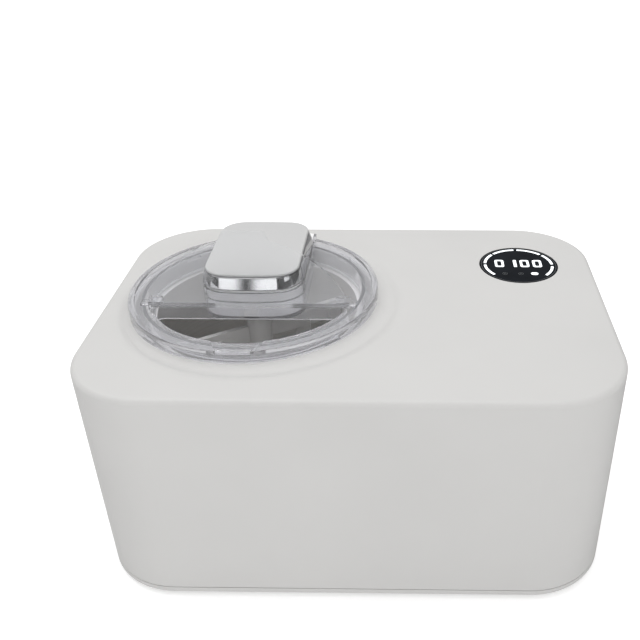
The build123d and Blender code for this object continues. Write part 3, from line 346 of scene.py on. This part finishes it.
# ---------------------------------------------------------------- moulded pieces with softened edges
# Bevel widths in millimetres
SOFT_WIDTHS = {
    "clear_lid": 0.45,
    "pour_flap": 0.3,
    "well_ring": 0.4,
    "motor_case": 0.4,
    "paddle": 1.0,
    "lid_gasket": 0.3,
}
SHARP_ANGLE = radians(32)
FLAT_ANGLE = radians(1)
WELD = 2e-6
BEVEL_STEPS = 3
NORMAL_WEIGHT = 60


def cleaned_mesh(node):
    """A smooth-shaded copy of a CAD piece's mesh, with flat faces merged."""
    work = bmesh.new()
    work.from_mesh(frame["nodes"][node].data)
    bmesh.ops.remove_doubles(work, verts=work.verts, dist=WELD)
    bmesh.ops.dissolve_limit(work, angle_limit=FLAT_ANGLE, verts=work.verts, edges=work.edges)
    for face in work.faces:
        face.smooth = True
    mesh = bpy.data.meshes.new(node + "_moulded")
    work.to_mesh(mesh)
    work.free()
    if "custom_normal" in mesh.attributes:
        mesh.attributes.remove(mesh.attributes["custom_normal"])
    mesh.materials.clear()
    mesh.materials.append(MATERIALS[slot_of[node]])
    return mesh


def soft_edges(node, width):
    """A copy of a CAD piece whose sharp edges are rounded, as moulding leaves them.

    It stands for the CAD piece."""
    piece = bpy.data.objects.new(node + "_moulded", cleaned_mesh(node))
    scene.collection.objects.link(piece)
    bevel = piece.modifiers.new("rounding", "BEVEL")
    bevel.width = width * MM
    bevel.segments = BEVEL_STEPS
    bevel.limit_method = "ANGLE"
    bevel.angle_limit = SHARP_ANGLE
    normals = piece.modifiers.new("shading", "WEIGHTED_NORMAL")
    normals.weight = NORMAL_WEIGHT
    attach(piece, body_of[node])
    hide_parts(node)
    return piece


moulded = {node: soft_edges(node, width) for node, width in SOFT_WIDTHS.items()}

# The flap bends light less than the lid, so that its edge is only a faint line.
flap_clear = clear_plastic("flap_clear", (0.98, 0.985, 0.99), haze=0.02, index=FLAP_INDEX)
moulded["pour_flap"].data.materials[0] = flap_clear

# The clear pieces cast no shadow, so that light reaches what is under them.
for node in ("clear_lid", "pour_flap"):
    moulded[node].visible_shadow = False


# ---------------------------------------------------------------- print on the display glass
# Sizes and places in millimetres
MARK_RISE = 0.05
MARK_STEPS = 96
RIM_LINE_INSET, RIM_LINE_W = 1.3, 0.5
TOUCH_MARK_ACROSS = (-12.8, 0.4)
TOUCH_MARK_DOWN = 16.5
TOUCH_RING_R, TOUCH_DOT_R, TOUCH_LINE_W = 2.2, 0.9, 0.45


def ring_loop(work, centre, radius, rise):
    """A circle of points on the display glass, or just above it."""
    turns = [2 * pi * step / MARK_STEPS for step in range(MARK_STEPS)]
    height = GLASS_TOP + rise
    return [work.verts.new((centre.x + radius * cos(a), centre.y + radius * sin(a), height)) for a in turns]


def flat_ring(name, centre, outer_r, width, material):
    """A thin printed ring with a slightly crowned face, lying on the display glass."""
    shape = ((outer_r - width, 0.0), (outer_r - width / 2, MARK_RISE * MM), (outer_r, 0.0))
    work = bmesh.new()
    loops = [ring_loop(work, centre, radius, rise) for radius, rise in shape]
    for inner, outer in ((0, 1), (1, 2), (2, 0)):
        for step in range(MARK_STEPS):
            after = (step + 1) % MARK_STEPS
            corners = (loops[inner][step], loops[outer][step], loops[outer][after], loops[inner][after])
            work.faces.new(corners).smooth = True
    bmesh.ops.recalc_face_normals(work, faces=work.faces)
    mesh = bpy.data.meshes.new(name)
    work.to_mesh(mesh)
    work.free()
    mesh.materials.append(material)
    piece = bpy.data.objects.new(name, mesh)
    scene.collection.objects.link(piece)
    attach(piece, "housing")


def display_print():
    """The grey line round the glass and the two unlit touch marks."""
    grey = moulded_plastic("printed_grey", (0.09, 0.095, 0.1), rough=(0.3, 0.4), grain=0.0)
    rim_r = GLASS_R - RIM_LINE_INSET * MM
    line_w = TOUCH_LINE_W * MM
    flat_ring("display_rim_line", DISPLAY, rim_r, RIM_LINE_W * MM, grey)
    for number, across in enumerate(TOUCH_MARK_ACROSS, start=1):
        centre = DISPLAY + Vector((across * MM, -TOUCH_MARK_DOWN * MM, 0))
        flat_ring(f"touch_mark_{number}", centre, TOUCH_RING_R * MM, line_w, grey)
        flat_ring(f"touch_mark_dot_{number}", centre, TOUCH_DOT_R * MM, line_w, grey)


display_print()


# ---------------------------------------------------------------- stage and light
FLOOR_REACH = 6.0
FLOOR_GLOW = 0.3

# Brightness of the plain sky that lights the scene, at the horizon and overhead
SKY_LOW, SKY_HIGH = 0.5, 1.15

# What shiny surfaces see instead: brightness by height, from straight down to straight up, times
# brightness round the horizon. Towards the back the part by height fades to one value.
GLOSS_RISE = ((0.0, 0.35), (0.35, 0.45), (0.43, 1.2), (0.48, 2.1), (0.6, 2.1), (0.66, 0.12), (0.74, 0.2),
              (0.82, 1.2), (1.0, 1.9))
GLOSS_ROUND = ((0.0, 1.0), (0.012, 0.95), (0.036, 0.06), (0.06, 1.0), (0.09, 0.9), (0.12, 0.04), (0.25, 0.2),
               (0.38, 0.85), (0.5, 1.0), (0.545, 1.0), (0.58, 0.06), (0.9, 0.06), (0.968, 0.04), (0.99, 1.0),
               (1.0, 1.0))
BACK_SKY = 0.6
BACK_FADE = (0.2, 0.7)
WHITE = (1, 1, 1, 1)

# Each lamp's name, place, target, side length and power
LAMPS = (
    ("key", (-0.4, 0.3, 1.7), (0, 0, 0.1), 1.6, 8.4),
    ("front_left", (-1.3, -1.4, 0.9), (0, 0, 0.12), 0.9, 1.2),
    ("front_right", (1.5, -1.2, 0.9), (0, 0, 0.12), 0.9, 3.6),
)


def area_light(name, place, aim, side, power):
    """A soft square lamp pointed at a place."""
    data = bpy.data.lights.new(name, "AREA")
    data.shape = "RECTANGLE"
    data.size = side
    data.size_y = side
    data.energy = power
    lamp_object = bpy.data.objects.new(name, data)
    scene.collection.objects.link(lamp_object)
    lamp_object.location = place
    lamp_object.rotation_euler = (Vector(aim) - Vector(place)).to_track_quat("-Z", "Y").to_euler()


def plain_floor():
    """A wide, pale floor that reflections don't pick up."""
    mesh = bpy.data.meshes.new("floor")
    signs = ((-1, -1), (1, -1), (1, 1), (-1, 1))
    corners = [(FLOOR_REACH * x, FLOOR_REACH * y, 0) for x, y in signs]
    mesh.from_pydata(corners, [], [(0, 1, 2, 3)])
    floor = bpy.data.objects.new("floor", mesh)
    scene.collection.objects.link(floor)
    look = Look("floor_paper")
    look.colour(look.blend(look.remap(look.noise(3), 0, 1), (0.9, 0.9, 0.9), (0.89, 0.89, 0.89)))
    look.set(Roughness=0.85, Emission_Color=WHITE, Emission_Strength=FLOOR_GLOW)
    floor.data.materials.append(look.material)
    floor.visible_glossy = False


def grey_ramp(tree, stops):
    """A ramp of greys with soft steps."""
    ramp = tree.nodes.new("ShaderNodeValToRGB")
    ramp.color_ramp.interpolation = "EASE"
    while len(ramp.color_ramp.elements) < len(stops):
        ramp.color_ramp.elements.new(0.5)
    for element, (position, grey) in zip(ramp.color_ramp.elements, stops):
        element.position = position
        element.color = (grey, grey, grey, 1)
    return ramp


def stretch(tree, source, from_range, to_range):
    """A value moved from one range to another."""
    node = tree.nodes.new("ShaderNodeMapRange")
    node.inputs["From Min"].default_value, node.inputs["From Max"].default_value = from_range
    node.inputs["To Min"].default_value, node.inputs["To Max"].default_value = to_range
    tree.links.new(source, node.inputs["Value"])
    return node.outputs["Result"]


def shiny_sky(tree, parts):
    """Bright windows and dark cards, by height and round the horizon."""
    turn = tree.nodes.new("ShaderNodeMath")
    turn.operation = "ARCTAN2"
    tree.links.new(parts.outputs["X"], turn.inputs[0])
    tree.links.new(parts.outputs["Y"], turn.inputs[1])
    around = grey_ramp(tree, GLOSS_ROUND)
    tree.links.new(stretch(tree, turn.outputs[0], (-pi, pi), (0, 1)), around.inputs["Fac"])
    rise = grey_ramp(tree, GLOSS_RISE)
    tree.links.new(stretch(tree, parts.outputs["Z"], (-1, 1), (0, 1)), rise.inputs["Fac"])
    height = tree.nodes.new("ShaderNodeMix")
    tree.links.new(stretch(tree, parts.outputs["Y"], BACK_FADE, (0, 1)), height.inputs["Factor"])
    tree.links.new(rise.outputs["Color"], height.inputs["A"])
    height.inputs["B"].default_value = BACK_SKY
    shiny = tree.nodes.new("ShaderNodeBackground")
    tree.links.new(around.outputs["Color"], shiny.inputs["Color"])
    tree.links.new(height.outputs["Result"], shiny.inputs["Strength"])
    return shiny


def pick(tree, ray, otherwise, chosen):
    """One shader for a kind of ray, and another for the rest."""
    mix = tree.nodes.new("ShaderNodeMixShader")
    tree.links.new(ray, mix.inputs[0])
    tree.links.new(otherwise.outputs[0], mix.inputs[1])
    tree.links.new(chosen.outputs[0], mix.inputs[2])
    return mix


def studio_world():
    """A plain sky for light, a shiny sky that only reflections pick up, and a white backdrop."""
    world = bpy.data.worlds.new("studio")
    scene.world = world
    world.use_nodes = True
    tree = world.node_tree
    direction = tree.nodes.new("ShaderNodeTexCoord").outputs["Generated"]
    parts = tree.nodes.new("ShaderNodeSeparateXYZ")
    tree.links.new(direction, parts.inputs["Vector"])
    plain = tree.nodes["Background"]
    plain.inputs["Color"].default_value = WHITE
    tree.links.new(stretch(tree, parts.outputs["Z"], (0, 1), (SKY_LOW, SKY_HIGH)), plain.inputs["Strength"])
    backdrop = tree.nodes.new("ShaderNodeBackground")
    backdrop.inputs["Color"].default_value = WHITE
    path = tree.nodes.new("ShaderNodeLightPath")
    lit = pick(tree, path.outputs["Is Glossy Ray"], plain, shiny_sky(tree, parts))
    seen = pick(tree, path.outputs["Is Camera Ray"], lit, backdrop)
    tree.links.new(seen.outputs[0], tree.nodes["World Output"].inputs["Surface"])


plain_floor()
studio_world()
for lamp_row in LAMPS:
    area_light(*lamp_row)


# ---------------------------------------------------------------- camera
CAMERA_PLACE = (0.0437, -0.5573, 0.4937)
CAMERA_TURN = (1.006, 0.001, 0.015)
CAMERA_SENSOR, CAMERA_LENS = 36.0, 45.67
CAMERA_SHIFT_X, CAMERA_SHIFT_Y = -0.126, 0.0421
CAMERA_NEAR = 0.01


def studio_camera():
    """The camera, above and in front of the object, and the plain view transform."""
    data = bpy.data.cameras.new("camera")
    data.sensor_width = CAMERA_SENSOR
    data.lens = CAMERA_LENS
    data.shift_x = CAMERA_SHIFT_X
    data.shift_y = CAMERA_SHIFT_Y
    data.clip_start = CAMERA_NEAR
    camera = bpy.data.objects.new("camera", data)
    scene.collection.objects.link(camera)
    camera.location = CAMERA_PLACE
    camera.rotation_euler = CAMERA_TURN
    scene.camera = camera
    scene.view_settings.view_transform = "Standard"


studio_camera()
